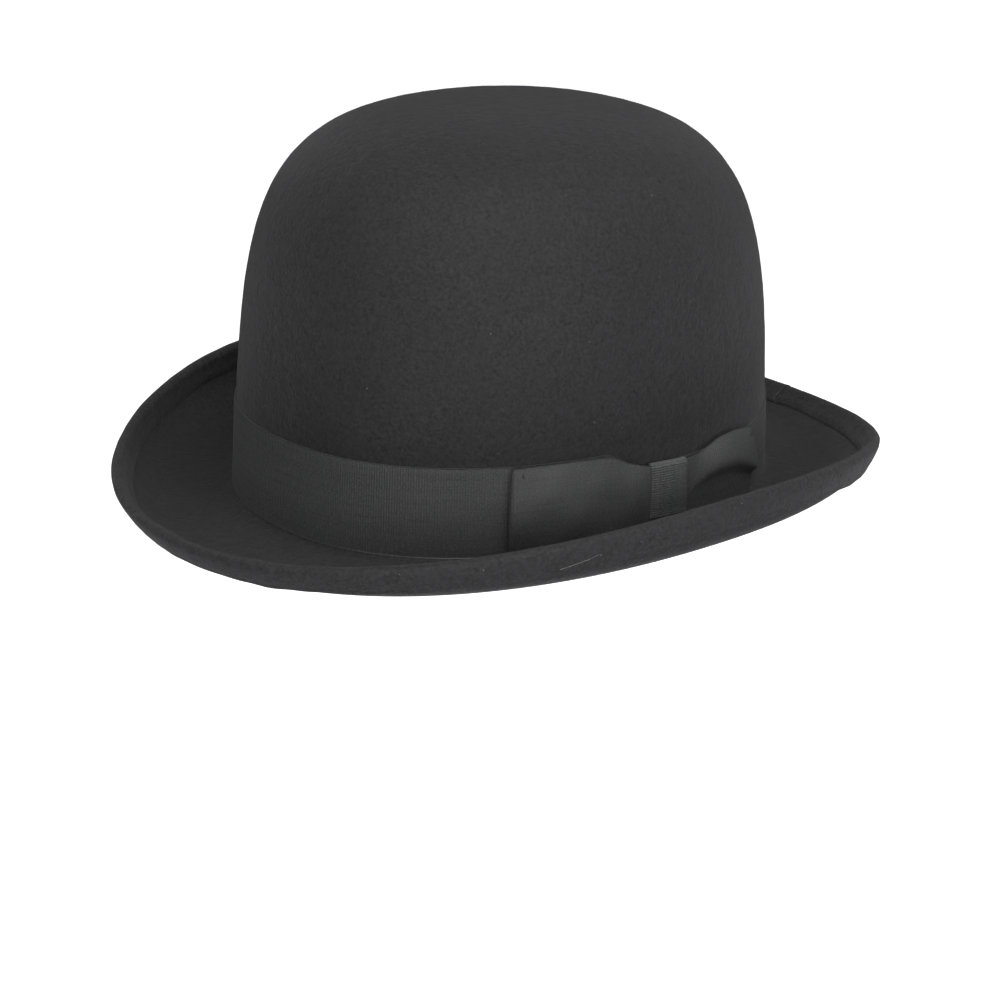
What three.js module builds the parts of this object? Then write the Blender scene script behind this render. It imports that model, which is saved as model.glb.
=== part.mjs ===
// A bowler hat in millimetres. +Z is up, -Y is the front and +X is the wearer's left.
// The origin is the centre of the head opening, at the level where the brim leaves the crown.
//
// A blocked felt body carries everything: a wired and bound brim edge, a ribbon band with a flat
// bow on the wearer's left, and inside a reeded leather sweatband over a two-piece satin lining.
// All layers follow the same head oval, so each one is given by how far it stands off the crown's
// outer face: "outward" is positive away from the head and negative inside the crown.
import * as THREE from "three";

const { clamp, degToRad, smoothstep } = THREE.MathUtils;

// ---- Driving dimensions ----------------------------------------------------------------------

const HEAD_HALF_LENGTH = 103; // outer face of the crown at the brim, front to back
const HEAD_HALF_WIDTH = 87; // the same, side to side
const OVAL_POWER = 2.18; // 2 is an ellipse; a head is a little squarer

const CROWN_HEIGHT = 139.5;
const CROWN_WALL_POWER = 4.15; // how long the wall stays upright before it turns in
const CROWN_TOP_POWER = 3.4; // how flat the top is
const CROWN_TAPER = 0.043; // share of the width lost from the brim to the top
const CROWN_LEAN = 2; // the top sits this far towards the back
const CROWN_TIP = 4.5; // the top is this much lower at the back than at the middle

// The brim, given at its four stations.
const BRIM_WIDTH = { front: 47, left: 46.5, rear: 43, right: 48 }; // break to edge wire
const BRIM_START_DEG = { front: -10, left: 2.5, rear: -10, right: 7.5 }; // slope at the break
const BRIM_END_DEG = { front: 64, left: 113, rear: 42, right: 103 }; // slope at the edge
const BRIM_DIP = { front: -1.8, left: 0, rear: -2.1, right: 0 }; // height of the break
const BRIM_ROLL_POWER = 2.57; // above 1, the curl gathers near the edge

const FELT = 2.2; // thickness of the body
const BREAK_RADIUS = 1; // inside radius where the crown turns into the brim
const GAP = 0.3; // clearance between pieces that touch

const WIRE_RADIUS = 0.8;
const BINDING_FELT = 1; // thickness of the strip over the edge
const BINDING_INSIDE = FELT / 2 + 0.25; // half the slot that holds the brim
const BINDING_TOP = 8; // how far it covers the upper side, from the wire
const BINDING_UNDER = 10; // how far it covers the underside
const BINDING_SEAM_DEG = 88; // where its two ends meet, near the back

const RIBBON_WIDTH = 31.75; // one and a quarter inches
const RIBBON = 0.5; // thickness
const BAND_LOW = 2.1; // lower edge of the band above the break
const BOW_ANGLE = 1.5; // degrees behind the left side
const KNOT_WIDTH = 14;
const KNOT_HEIGHT = 16.7;
const FRONT_LOOP = 62.5; // length of each loop from the middle of the knot
const REAR_LOOP = 50;
const LOOP_PINCH = 24.5; // the loops narrow towards the knot over this length
const REAR_LOOP_TOP = 12.3; // the rear loop's upper edge rises no further above its middle

const LEATHER = 1;
const SWEATBAND_WIDTH = 33;
const REED_RADIUS = 0.9;
const TAPE = 0.4; // thickness of the reed's tape
const TAPE_HEIGHT = 9;
const SATIN = 0.4;
const LINING_SEAM_DEG = 56; // where the side lining meets the tip, along the crown's curve
const LINING_LOW = 14; // lower edge of the side lining, tucked behind the leather
const TAB = { angle: 62, width: 20, low: 14, height: 11 }; // degrees, then millimetres
const TRIM_BOW = { width: 22, height: 8.4, waist: 3.4, thickness: 1, middle: 12 };

// ---- Places worked out from them ---------------------------------------------------------------

const COLUMNS = 48; // steps round the hat, shared by every ring so that facets nest
const TURN = 2 * Math.PI;
const BEHIND_FELT = -FELT - GAP; // first free face inside the crown
const LEATHER_BACK = BEHIND_FELT - TAPE - GAP;
const LEATHER_FACE = LEATHER_BACK - LEATHER;
const REED_OUTWARD = LEATHER_BACK - REED_RADIUS;
const REED_HEIGHT = 1;
const SWEATBAND_LOW = REED_HEIGHT + REED_RADIUS + GAP;
const BAND_MIDDLE = BAND_LOW + RIBBON_WIDTH / 2;
const SEAM_SLIT = degToRad(0.25); // half the slit where a strip's ends meet
const REAR = Math.PI / 2;
const BINDING_SEAM = degToRad(BINDING_SEAM_DEG);

// ---- Mesh helpers ------------------------------------------------------------------------------

// A closed mesh from points and faces, turned so that its faces point out.
function closedMesh(points, faces) {
  const volume = faces.reduce((sum, [a, b, c]) => {
    const edge = new THREE.Vector3().crossVectors(points[b], points[c]);
    return sum + points[a].dot(edge);
  }, 0);
  const outward = volume > 0 ? faces : faces.map(([a, b, c]) => [a, c, b]);
  const geometry = new THREE.BufferGeometry();
  geometry.setFromPoints(points);
  geometry.setIndex(outward.flat());
  geometry.computeVertexNormals();
  return geometry;
}

// The two triangles of the cell between columns i and j and section points m and n.
function cell(size, i, j, m, n) {
  const [a, b, c, d] = [i * size + m, j * size + m, j * size + n, i * size + n];
  return [
    [a, b, c],
    [a, c, d],
  ];
}

// Sweeps a closed outline, a list of points for each column, right round the hat.
function ring(sectionAt) {
  const columns = evenAngles().map(sectionAt);
  const size = columns[0].length;
  const faces = columns.flatMap((_, i) =>
    columns[0].flatMap((_, m) => cell(size, i, (i + 1) % columns.length, m, (m + 1) % size)),
  );
  return closedMesh(columns.flat(), faces);
}

// Sweeps a closed outline from the first column to the last and closes both ends.
function strip(columns) {
  const size = columns[0].length;
  const last = columns.length - 1;
  const sides = columns
    .slice(0, last)
    .flatMap((_, i) => columns[0].flatMap((_, m) => cell(size, i, i + 1, m, (m + 1) % size)));
  const end = endFace(columns[last].map(fromAxis)).map(([a, b, c]) => [a, c, b]);
  const faces = [
    ...sides,
    ...endFace(columns[0].map(fromAxis)),
    ...end.map((face) => face.map((index) => index + last * size)),
  ];
  return closedMesh(columns.flat(), faces);
}

// An outline cut into triangles that turn the same way as the outline runs.
function endFace(outline) {
  const way = Math.sign(THREE.ShapeUtils.area(outline));
  const faces = THREE.ShapeUtils.triangulateShape([...outline], []);
  return faces.map(([a, b, c]) => {
    const corner = [outline[a], outline[b], outline[c]];
    return Math.sign(THREE.ShapeUtils.area(corner)) === way ? [a, b, c] : [a, c, b];
  });
}

// Sweeps an open outline that starts and ends on the crown's centre line into a dome's skin.
function dome(sectionAt) {
  const columns = evenAngles().map((angle) => sectionAt(angle));
  const size = columns[0].length - 2;
  const points = columns.flatMap((column) => column.slice(1, -1));
  const top = points.push(columns[0][0]) - 1;
  const bottom = points.push(columns[0].at(-1)) - 1;
  const faces = columns.flatMap((_, i) => {
    const j = (i + 1) % columns.length;
    const sides = Array.from({ length: size - 1 }, (_, m) => cell(size, i, j, m, m + 1)).flat();
    const tip = [top, j * size, i * size];
    const base = [bottom, i * size + size - 1, j * size + size - 1];
    return [tip, ...sides, base];
  });
  return closedMesh(points, faces);
}

// A point's place in the upright plane of its own column.
function fromAxis(point) {
  return new THREE.Vector2(Math.hypot(point.x, point.y), point.z);
}

function evenAngles() {
  return Array.from({ length: COLUMNS }, (_, i) => (i * TURN) / COLUMNS);
}

// The shared columns between two angles, with those two angles themselves at the ends.
function anglesBetween(from, to) {
  const step = TURN / COLUMNS;
  const first = Math.floor(from / step) + 1;
  const count = Math.ceil(to / step) - first;
  const inner = Array.from({ length: count }, (_, i) => (first + i) * step);
  return [from, ...inner, to];
}

// ---- The surfaces that every piece follows -----------------------------------------------------

function signedPower(value, power) {
  return Math.sign(value) * Math.abs(value) ** power;
}

// A point of the head oval and its outward direction in plan.
function oval(angle) {
  const [across, along] = [Math.cos(angle), Math.sin(angle)];
  const point = new THREE.Vector2(
    HEAD_HALF_WIDTH * signedPower(across, 2 / OVAL_POWER),
    HEAD_HALF_LENGTH * signedPower(along, 2 / OVAL_POWER),
  );
  const normal = new THREE.Vector2(
    signedPower(across, 2 - 2 / OVAL_POWER) / HEAD_HALF_WIDTH,
    signedPower(along, 2 - 2 / OVAL_POWER) / HEAD_HALF_LENGTH,
  ).normalize();
  return { point, normal };
}

// A value given at the front, left, rear and right, eased round the hat.
function around(stations, angle) {
  const side = Math.cos(angle) > 0 ? stations.left : stations.right;
  const end = Math.sin(angle) > 0 ? stations.rear : stations.front;
  return side * Math.cos(angle) ** 2 + end * Math.sin(angle) ** 2;
}

// The crown at a rise from 0 at the brim to 1 at the top, standing off its outer face.
function crownPoint(angle, rise, outward) {
  const { point, normal } = oval(angle);
  const bulge = (1 - clamp(rise, 0, 1) ** CROWN_WALL_POWER) ** (1 / CROWN_TOP_POWER);
  const width = (1 - CROWN_TAPER * rise) * bulge;
  const x = (point.x + normal.x * outward) * width;
  const y = (point.y + normal.y * outward) * width + CROWN_LEAN * rise;
  const z =
    around(BRIM_DIP, angle) * (1 - rise) +
    (CROWN_HEIGHT + outward) * rise -
    (CROWN_TIP * rise * y) / HEAD_HALF_LENGTH;
  return new THREE.Vector3(x, y, z);
}

// The crown's wall at a height above the break.
function wallPoint(angle, height, outward) {
  const at = crownPoint(angle, height / CROWN_HEIGHT, 0);
  const { normal } = oval(angle);
  return at.add(new THREE.Vector3(normal.x * outward, normal.y * outward, 0));
}

// The rise reached after turning so many degrees from the wall towards the top.
function riseAt(degrees) {
  return Math.sin(degToRad(degrees)) ** (2 / CROWN_WALL_POWER);
}

// The brim's middle surface, followed outward from the break for a given length, then lifted
// off it at a right angle: a positive lift is the upper side.
function brimPoint(angle, length, lift) {
  const { point, normal } = oval(angle);
  const width = around(BRIM_WIDTH, angle);
  const start = degToRad(around(BRIM_START_DEG, angle));
  const end = degToRad(around(BRIM_END_DEG, angle));
  const slopeAt = (share) => start + (end - start) * share ** BRIM_ROLL_POWER;
  const steps = 48;
  const step = length / steps;
  let [out, up] = [0, around(BRIM_DIP, angle)];
  for (let i = 0; i < steps; i++) {
    const slope = slopeAt(((i + 0.5) * step) / width);
    out += Math.cos(slope) * step;
    up += Math.sin(slope) * step;
  }
  const slope = slopeAt(length / width);
  out -= Math.sin(slope) * lift;
  up += Math.cos(slope) * lift;
  return new THREE.Vector3(point.x + normal.x * out, point.y + normal.y * out, up);
}

// A point at an angle round the edge wire: 90 degrees is the upper side, 0 the outer edge.
function roundWire(angle, degrees, radius) {
  const centre = brimPoint(angle, around(BRIM_WIDTH, angle), 0);
  const up = brimPoint(angle, around(BRIM_WIDTH, angle), 1).sub(centre);
  const { normal } = oval(angle);
  const sideways = new THREE.Vector3(-normal.y, normal.x, 0);
  const out = new THREE.Vector3().crossVectors(sideways, up);
  const turn = degToRad(degrees);
  return centre
    .addScaledVector(up, radius * Math.sin(turn))
    .addScaledVector(out, radius * Math.cos(turn));
}

// A curve that leaves one point, heads for a corner and arrives at another point.
function bend(from, corner, to) {
  const curve = new THREE.QuadraticBezierCurve3(from, corner, to);
  return curve.getPoints(3);
}

// ---- Felt body and brim edge -------------------------------------------------------------------

const CROWN_TURNS = [80, 68, 57, 46, 36, 26, 16, 6]; // degrees, from near the top to the wall
const EDGE_STEPS = [BINDING_UNDER, BINDING_TOP, 5, 2]; // shared by the brim and its binding

function feltSection(angle) {
  const width = around(BRIM_WIDTH, angle);
  const half = FELT / 2;
  const wallFoot = half + BREAK_RADIUS;
  const open = [0.2, 0.36, 0.52, 0.66].map((share) => share * width);
  const covered = EDGE_STEPS.map((step) => width - step);
  const edge = width - WIRE_RADIUS - GAP;
  const lengths = [...open, ...covered, edge];
  const crownSide = (outward) => CROWN_TURNS.map((turn) => crownPoint(angle, riseAt(turn), outward));
  const breakUpper = bend(
    wallPoint(angle, wallFoot, 0),
    wallPoint(angle, half, 0),
    brimPoint(angle, BREAK_RADIUS, half),
  );
  const breakUnder = bend(
    brimPoint(angle, BREAK_RADIUS, -half),
    wallPoint(angle, -half, -FELT),
    wallPoint(angle, wallFoot, -FELT),
  );
  return [
    crownPoint(angle, 1, 0),
    ...crownSide(0),
    ...breakUpper,
    ...lengths.map((length) => brimPoint(angle, length, half)),
    ...lengths.map((length) => brimPoint(angle, length, -half)).reverse(),
    ...breakUnder,
    ...crownSide(-FELT).reverse(),
    crownPoint(angle, 1, -FELT),
  ];
}

// A U over the brim's edge, from the top leg's outer face round the wire to the under leg.
function bindingSection(angle) {
  const width = around(BRIM_WIDTH, angle);
  const inside = BINDING_INSIDE;
  const outside = inside + BINDING_FELT;
  const under = [...EDGE_STEPS, 0].map((step) => width - step);
  const upper = under.slice(1);
  const leg = (lengths, lift) => lengths.map((length) => brimPoint(angle, length, lift));
  return [
    ...leg(upper, outside),
    ...[45, 0, -45].map((turn) => roundWire(angle, turn, outside)),
    ...leg(under, -outside).reverse(),
    ...leg(under, -inside),
    roundWire(angle, 0, inside),
    ...leg(upper, inside).reverse(),
  ];
}

function wireSection(angle) {
  return [0, 60, 120, 180, 240, 300].map((turn) => roundWire(angle, turn, WIRE_RADIUS));
}

// A strip that runs once round the hat, with its ends meeting at the seam angle.
function seamedStrip(seam, sectionAt) {
  const angles = anglesBetween(seam + SEAM_SLIT, seam + TURN - SEAM_SLIT);
  return strip(angles.map(sectionAt));
}

// ---- Hat band and bow --------------------------------------------------------------------------

const RIBBON_BACK = GAP; // outward of the band's back face
const BOW_INNER = RIBBON_BACK + RIBBON + GAP; // outward of the bow's lowest layer
const BOW_OUTER = BOW_INNER + 1.2; // its upper layer near the knot
const LOOP_FULLNESS = 2.2; // a loop's far end stands this much further off
const SELVEDGE_COVER = 0.1; // the bow's edges pass the band's by this much
const WALL_RADIUS = 105; // of the wall under the bow, near enough to lay distances out

// The angle a given distance from the middle of the bow, measured on the wall.
function bowAngle(distance) {
  return degToRad(BOW_ANGLE) + distance / WALL_RADIUS;
}

// Half the ribbon's height at a distance from the middle of the bow: the knot gathers it in, and
// it is back to its full height after the given length.
function halfHeight(distance, length) {
  const pinch = 1 - smoothstep(distance, KNOT_WIDTH / 2, length);
  return RIBBON_WIDTH / 2 - (pinch * (RIBBON_WIDTH - KNOT_HEIGHT)) / 2;
}

// Behind the bow the band widens again more slowly than in front of it.
function bandSection(angle) {
  const turn = angle - bowAngle(0);
  const behind = halfHeight(turn * WALL_RADIUS, REAR_LOOP);
  const before = halfHeight((TURN - turn) * WALL_RADIUS, LOOP_PINCH);
  const half = Math.min(behind, before) - SELVEDGE_COVER;
  const [low, high] = [BAND_MIDDLE - half, BAND_MIDDLE + half];
  return [
    wallPoint(angle, low, RIBBON_BACK),
    wallPoint(angle, low, RIBBON_BACK + RIBBON),
    wallPoint(angle, high, RIBBON_BACK + RIBBON),
    wallPoint(angle, high, RIBBON_BACK),
  ];
}

// One loop of folded ribbon: out along the wall, round the fold, and back over itself. Its upper
// edge stays below top, measured from the middle of the band.
function bowLoop(length, way, top) {
  const start = 0.6; // each loop stops just short of the middle of the knot
  const reach = length - 2; // where the ribbon starts to turn back
  const steps = Math.round(reach / 6);
  const stops = Array.from({ length: steps + 1 }, (_, i) => start + ((reach - start) * i) / steps);
  const full = (stop) => BOW_OUTER + LOOP_FULLNESS * smoothstep(stop, KNOT_WIDTH / 2, reach);
  const fold = (BOW_INNER + full(reach)) / 2;
  const path = [
    ...stops.map((stop) => [stop, BOW_INNER]),
    [length, fold],
    ...stops.map((stop) => [stop, full(stop)]).reverse(),
  ];
  const edge = ([stop, outward], half) =>
    wallPoint(bowAngle(way * stop), BAND_MIDDLE + half, outward + RIBBON / 2);
  const columns = path.map(([stop, outward], i) => {
    const half = halfHeight(stop, LOOP_PINCH);
    const low = edge([stop, outward], -half);
    const high = edge([stop, outward], Math.min(half, top));
    const before = edge(path[Math.max(i - 1, 0)], 0);
    const after = edge(path[Math.min(i + 1, path.length - 1)], 0);
    const side = new THREE.Vector3(after.y - before.y, before.x - after.x, 0).setLength(RIBBON / 2);
    return [
      low.clone().add(side),
      high.clone().add(side),
      high.clone().sub(side),
      low.clone().sub(side),
    ];
  });
  return strip(columns);
}

// The ribbon wrapped over the middle of the bow, tucked in behind it above and below.
function knotSection(angle) {
  const [back, front] = [BOW_INNER, BOW_OUTER + RIBBON + GAP];
  const inner = KNOT_HEIGHT / 2 + GAP;
  const outer = inner + RIBBON;
  const outline = [
    [back, outer],
    [front + RIBBON, outer],
    [front + RIBBON, -outer],
    [back, -outer],
    [back, -inner],
    [front, -inner],
    [front, inner],
    [back, inner],
  ];
  return outline.map(([outward, up]) => wallPoint(angle, BAND_MIDDLE + up, outward));
}

// ---- Sweatband, reed and lining ----------------------------------------------------------------

function sweatbandSection(angle) {
  const high = SWEATBAND_LOW + SWEATBAND_WIDTH;
  return [
    wallPoint(angle, SWEATBAND_LOW, LEATHER_BACK),
    wallPoint(angle, high, LEATHER_BACK),
    wallPoint(angle, high, LEATHER_FACE),
    wallPoint(angle, SWEATBAND_LOW, LEATHER_FACE),
  ];
}

function reedSection(angle) {
  return [0, 60, 120, 180, 240, 300].map((degrees) => reedPoint(angle, degrees, REED_RADIUS));
}

function reedPoint(angle, degrees, radius) {
  const turn = degToRad(degrees);
  const outward = REED_OUTWARD + radius * Math.cos(turn);
  return wallPoint(angle, REED_HEIGHT + radius * Math.sin(turn), outward);
}

// The tape folded under the reed: a tall leg behind the leather, a short one in front of it.
function tapeSection(angle) {
  const inside = REED_RADIUS + GAP;
  const outside = inside + TAPE;
  const shortLeg = SWEATBAND_LOW + 2;
  const face = LEATHER_FACE - GAP;
  return [
    wallPoint(angle, TAPE_HEIGHT, BEHIND_FELT),
    ...[0, -45, -90, -135, 180].map((turn) => reedPoint(angle, turn, outside)),
    wallPoint(angle, shortLeg, face - TAPE),
    wallPoint(angle, shortLeg, face),
    ...[180, -135, -90, -45, 0].map((turn) => reedPoint(angle, turn, inside)),
    wallPoint(angle, TAPE_HEIGHT, BEHIND_FELT - TAPE),
  ];
}

// The lining hangs further from the felt towards the top of the crown.
function liningOutward(rise) {
  return BEHIND_FELT - 2.5 * rise ** 3;
}

function liningLayer(angle, rises, inward) {
  return rises.map((rise) => crownPoint(angle, rise, liningOutward(rise) - inward));
}

function sideLiningSection(angle) {
  const turns = [3, 9, 18, 30, 42, LINING_SEAM_DEG - 1];
  const rises = [LINING_LOW / CROWN_HEIGHT, ...turns.map(riseAt)];
  return [...liningLayer(angle, rises, 0), ...liningLayer(angle, rises, SATIN).reverse()];
}

function tipLiningSection(angle) {
  const rises = [1, riseAt(76), riseAt(LINING_SEAM_DEG + 1)];
  return [...liningLayer(angle, rises, 0), ...liningLayer(angle, rises, SATIN).reverse()];
}

// A thin cord sewn over the seam between the side lining and the tip.
function pipingSection(angle) {
  const radius = 0.7;
  const rise = riseAt(LINING_SEAM_DEG);
  const centre = crownPoint(angle, rise, liningOutward(rise) - SATIN - GAP - radius * 1.3);
  const { normal } = oval(angle);
  return [0, 60, 120, 180, 240, 300].map((degrees) => {
    const turn = degToRad(degrees);
    const out = radius * Math.cos(turn);
    const offset = new THREE.Vector3(normal.x * out, normal.y * out, radius * Math.sin(turn));
    return centre.clone().add(offset);
  });
}

// A small blank woven tab on the leather.
function sizeTab() {
  const halfTurn = TAB.width / 2 / HEAD_HALF_LENGTH;
  const [low, high] = [TAB.low, TAB.low + TAB.height];
  const back = LEATHER_FACE - GAP;
  const columns = [-1, -0.5, 0, 0.5, 1].map((share) => {
    const angle = degToRad(TAB.angle) + share * halfTurn;
    return [
      wallPoint(angle, low, back),
      wallPoint(angle, high, back),
      wallPoint(angle, high, back - SATIN),
      wallPoint(angle, low, back - SATIN),
    ];
  });
  return strip(columns);
}

// A small flat bow over the seam of the leather at the back of the head.
function sweatbandBow() {
  const [reach, tall, waist] = [TRIM_BOW.width, TRIM_BOW.height, TRIM_BOW.waist].map(half);
  const notch = reach * 0.86; // the ends are cut to a shallow V
  const outline = new THREE.Shape();
  outline.moveTo(-reach, -tall);
  outline.quadraticCurveTo(-reach * 0.5, -tall, -waist, -waist);
  outline.lineTo(waist, -waist);
  outline.quadraticCurveTo(reach * 0.5, -tall, reach, -tall);
  outline.lineTo(notch, 0);
  outline.lineTo(reach, tall);
  outline.quadraticCurveTo(reach * 0.5, tall, waist, waist);
  outline.lineTo(-waist, waist);
  outline.quadraticCurveTo(-reach * 0.5, tall, -reach, tall);
  outline.lineTo(-notch, 0);
  outline.closePath();
  return new THREE.ExtrudeGeometry(outline, {
    depth: TRIM_BOW.thickness,
    bevelEnabled: false,
    curveSegments: 5,
  });
}

function half(size) {
  return size / 2;
}

// ---- Materials and assembly --------------------------------------------------------------------

function material(color, roughness, metalness = 0) {
  return new THREE.MeshStandardMaterial({ color, roughness, metalness });
}

const BLACK_FELT = 0x131315;
const BLACK_RIBBON = 0x16181a;

const hat = new THREE.Group();

function add(name, geometry, look) {
  const mesh = new THREE.Mesh(geometry, look);
  mesh.name = name;
  hat.add(mesh);
  return mesh;
}

const KNOT_ANGLES = [-1, 0, 1].map((share) => bowAngle((share * KNOT_WIDTH) / 2));

add("felt_body", dome(feltSection), material(BLACK_FELT, 0.95));
add("brim_wire", ring(wireSection), material(0x8a8a88, 0.4, 0.9));
add("brim_binding", seamedStrip(BINDING_SEAM, bindingSection), material(BLACK_FELT, 0.95));
add("hat_band", seamedStrip(bowAngle(0), bandSection), material(BLACK_RIBBON, 0.7));
add("bow_front_loop", bowLoop(FRONT_LOOP, -1, RIBBON_WIDTH / 2), material(BLACK_RIBBON, 0.7));
add("bow_rear_loop", bowLoop(REAR_LOOP, 1, REAR_LOOP_TOP), material(BLACK_RIBBON, 0.7));
add("bow_knot", strip(KNOT_ANGLES.map(knotSection)), material(BLACK_RIBBON, 0.7));
add("sweatband", seamedStrip(REAR, sweatbandSection), material(0x17120f, 0.5));
add("sweatband_reed", ring(reedSection), material(0xc9c4b4, 0.5));
add("sweatband_reed_tape", seamedStrip(REAR, tapeSection), material(0x101011, 0.7));
add("side_lining", seamedStrip(REAR, sideLiningSection), material(0x0e0e12, 0.35));
add("tip_lining", dome(tipLiningSection), material(0x0e0e12, 0.35));
add("lining_piping", ring(pipingSection), material(0x0e0e12, 0.4));
add("size_tab", sizeTab(), material(0x202022, 0.7));

const rearBow = add("sweatband_bow", sweatbandBow(), material(BLACK_RIBBON, 0.6));
rearBow.rotation.x = Math.PI / 2;
rearBow.position.set(0, HEAD_HALF_LENGTH + LEATHER_FACE - GAP - 1, TRIM_BOW.middle);

export default hat;
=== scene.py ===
"""The looks of a black felt bowler hat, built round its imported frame.

Metres throughout. +Z is up, -Y is the front, +X is the wearer's left, and the origin is the
middle of the head opening, level with the break where the brim leaves the crown. Every layer
follows the same head oval, as in the frame, so a place on the hat is an angle round it, a height
or a length along the brim, and an "outward" distance from the crown's outer face.
"""

import math

import bpy
import numpy as np
from mathutils import Matrix, Vector


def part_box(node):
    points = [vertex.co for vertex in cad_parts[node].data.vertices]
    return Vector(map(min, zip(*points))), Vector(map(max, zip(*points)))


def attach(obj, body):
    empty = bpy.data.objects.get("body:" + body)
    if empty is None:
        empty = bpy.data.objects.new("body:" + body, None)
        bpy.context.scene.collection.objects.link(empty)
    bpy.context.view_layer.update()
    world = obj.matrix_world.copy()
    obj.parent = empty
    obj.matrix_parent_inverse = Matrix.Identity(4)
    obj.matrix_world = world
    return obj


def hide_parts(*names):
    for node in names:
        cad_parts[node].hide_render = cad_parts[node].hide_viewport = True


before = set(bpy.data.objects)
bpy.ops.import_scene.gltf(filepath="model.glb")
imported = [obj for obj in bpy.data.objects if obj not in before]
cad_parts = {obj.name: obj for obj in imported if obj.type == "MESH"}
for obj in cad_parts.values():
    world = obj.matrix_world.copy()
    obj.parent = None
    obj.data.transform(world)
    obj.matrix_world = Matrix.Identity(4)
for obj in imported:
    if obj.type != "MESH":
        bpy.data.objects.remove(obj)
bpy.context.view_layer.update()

MM = 0.001
TURN = 2 * math.pi
HAT_MIDDLE = (0, 0, 0.06)

# ---- The frame's driving dimensions --------------------------------------------------------------

HEAD_HALF_LENGTH = 103 * MM
HEAD_HALF_WIDTH = 87 * MM
OVAL_POWER = 2.18

CROWN_HEIGHT = 139.5 * MM
CROWN_WALL_POWER = 4.15
CROWN_TOP_POWER = 3.4
CROWN_TAPER = 0.043
CROWN_LEAN = 2 * MM
CROWN_TIP = 4.5 * MM

# The brim at its four stations: front, left, rear and right.
BRIM_WIDTH = np.array([47, 46.5, 43, 48]) * MM
BRIM_START = np.radians([-10, 2.5, -10, 7.5])
BRIM_END = np.radians([64, 113, 42, 103])
BRIM_DIP = np.array([-1.8, 0, -2.1, 0]) * MM
BRIM_ROLL_POWER = 2.57

FELT = 2.2 * MM
GAP = 0.3 * MM
BINDING_FELT = 1 * MM
BINDING_INSIDE = FELT / 2 + 0.25 * MM
BINDING_TOP = 8 * MM

RIBBON_WIDTH = 31.75 * MM
RIBBON = 0.5 * MM
BAND_MIDDLE = 2.1 * MM + RIBBON_WIDTH / 2
BOW_ANGLE = math.radians(1.5)
WALL_RADIUS = 105 * MM
KNOT_WIDTH = 14 * MM
KNOT_HEIGHT = 16.7 * MM
FRONT_LOOP = 62.5 * MM
REAR_LOOP = 50 * MM
LOOP_PINCH = 24.5 * MM

LEATHER = 1 * MM
REED_RADIUS = 0.9 * MM
TAPE = 0.4 * MM
SATIN = 0.4 * MM
BEHIND_FELT = -FELT - GAP
LEATHER_BACK = BEHIND_FELT - TAPE - GAP
LEATHER_FACE = LEATHER_BACK - LEATHER
REED_HEIGHT = 1 * MM
SWEATBAND_LOW = REED_HEIGHT + REED_RADIUS + GAP
SWEATBAND_HIGH = SWEATBAND_LOW + 33 * MM
REAR = math.pi / 2
BINDING_SEAM = math.radians(88)

# ---- The surfaces that every piece follows -------------------------------------------------------


def signed_power(value, power):
    return np.sign(value) * np.abs(value) ** power


def oval(angle):
    """A point of the head oval in plan, and the way out of it."""
    half = np.array([HEAD_HALF_WIDTH, HEAD_HALF_LENGTH])
    way = np.stack([np.cos(angle), np.sin(angle)], -1)
    point = half * signed_power(way, 2 / OVAL_POWER)
    normal = signed_power(way, 2 - 2 / OVAL_POWER) / half
    return point, normal / np.linalg.norm(normal, axis=-1, keepdims=True)


def around(stations, angle):
    """A value given at the front, left, rear and right, eased round the hat."""
    front, left, rear, right = stations
    side = np.where(np.cos(angle) > 0, left, right)
    end = np.where(np.sin(angle) > 0, rear, front)
    return side * np.cos(angle) ** 2 + end * np.sin(angle) ** 2


def swell(angle, degrees, spread):
    """A smooth swelling round one angle, from 0 to 1."""
    return np.exp((np.cos(angle - math.radians(degrees)) - 1) / math.radians(spread) ** 2)


def brim_width(angle):
    """The brim's width, a little wider or narrower in places than the frame's even one."""
    behind_bow = 1.6 * MM * swell(angle, 50, 30)
    beside_front = 1.2 * MM * swell(angle, -104, 17)
    far_side = 1.5 * MM * swell(angle, -166, 18)
    narrower = 1.2 * MM * swell(angle, -135, 18)
    return around(BRIM_WIDTH, angle) + behind_bow + beside_front + far_side - narrower


def crown_point(angle, rise, outward):
    """The crown at a rise from 0 at the brim to 1 at the top."""
    point, normal = oval(angle)
    bulge = (1 - np.clip(rise, 0, 1) ** CROWN_WALL_POWER) ** (1 / CROWN_TOP_POWER)
    width = (1 - CROWN_TAPER * rise) * bulge
    x = (point[..., 0] + normal[..., 0] * outward) * width
    y = (point[..., 1] + normal[..., 1] * outward) * width + CROWN_LEAN * rise
    low = around(BRIM_DIP, angle) * (1 - rise)
    z = low + (CROWN_HEIGHT + outward) * rise - CROWN_TIP * rise * y / HEAD_HALF_LENGTH
    return np.stack(np.broadcast_arrays(x, y, z), -1)


def wall_point(angle, height, outward):
    """The crown's wall at a height above the break."""
    at = crown_point(angle, height / CROWN_HEIGHT, 0 * outward)
    _, normal = oval(angle)
    at = at + np.zeros(np.broadcast_shapes(at.shape, np.shape(outward) + (1,)))
    at[..., 0] += normal[..., 0] * outward
    at[..., 1] += normal[..., 1] * outward
    return at


def rise_at(degrees):
    """The rise reached after turning so many degrees from the wall towards the top."""
    return np.sin(np.radians(degrees)) ** (2 / CROWN_WALL_POWER)


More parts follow.
